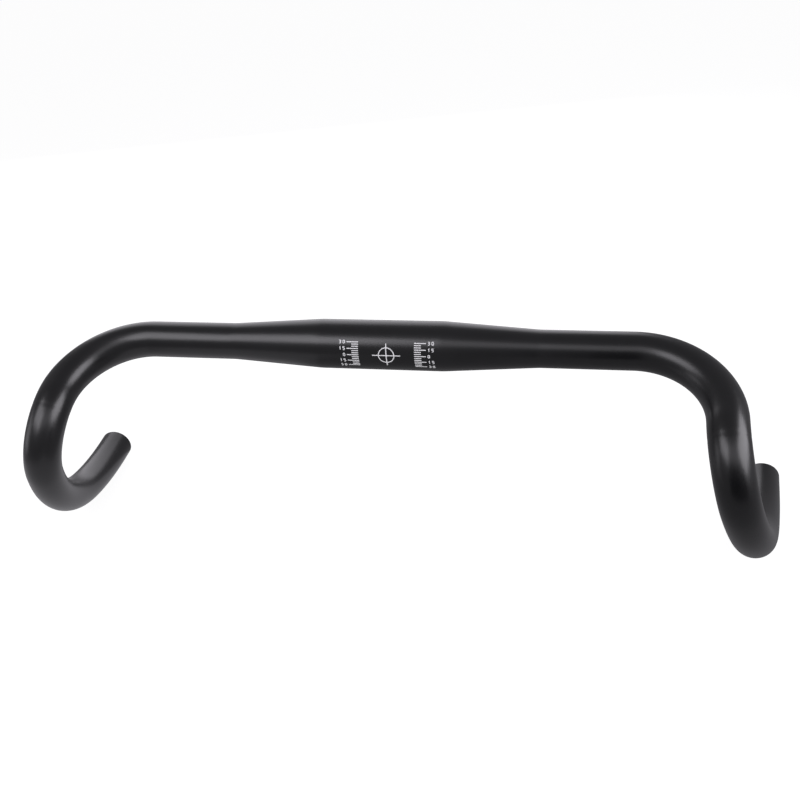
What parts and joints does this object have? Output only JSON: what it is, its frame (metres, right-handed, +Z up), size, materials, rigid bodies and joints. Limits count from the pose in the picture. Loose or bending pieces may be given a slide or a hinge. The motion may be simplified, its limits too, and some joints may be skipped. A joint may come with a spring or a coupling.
{
  "type": "drop handlebar",
  "caption": "One-piece drop handlebar: a thick clamp zone tapering to straight tops, forward shoulders, tight hooks and flared drops, printed with angle marks.",
  "frame": {"origin": "middle of the clamp zone, on the tube's axis", "axes": "+X along the tops, towards the rider's left hand; -Y the direction of travel; +Z up when the zero of the angle scale faces straight forward"},
  "size_m": [0.526, 0.1551, 0.1564],
  "materials": {
    "tube_finish": "satin black coating on aluminium",
    "ink": "printed light grey ink"
  },
  "bodies": {
    "root": {"bar_tube": "tube_finish", "target_ring": "ink", "target_cross": "ink", "left_scale_ticks": "ink", "right_scale_ticks": "ink", "left_scale_numbers": "ink", "right_scale_numbers": "ink"}
  },
  "joints": []
}
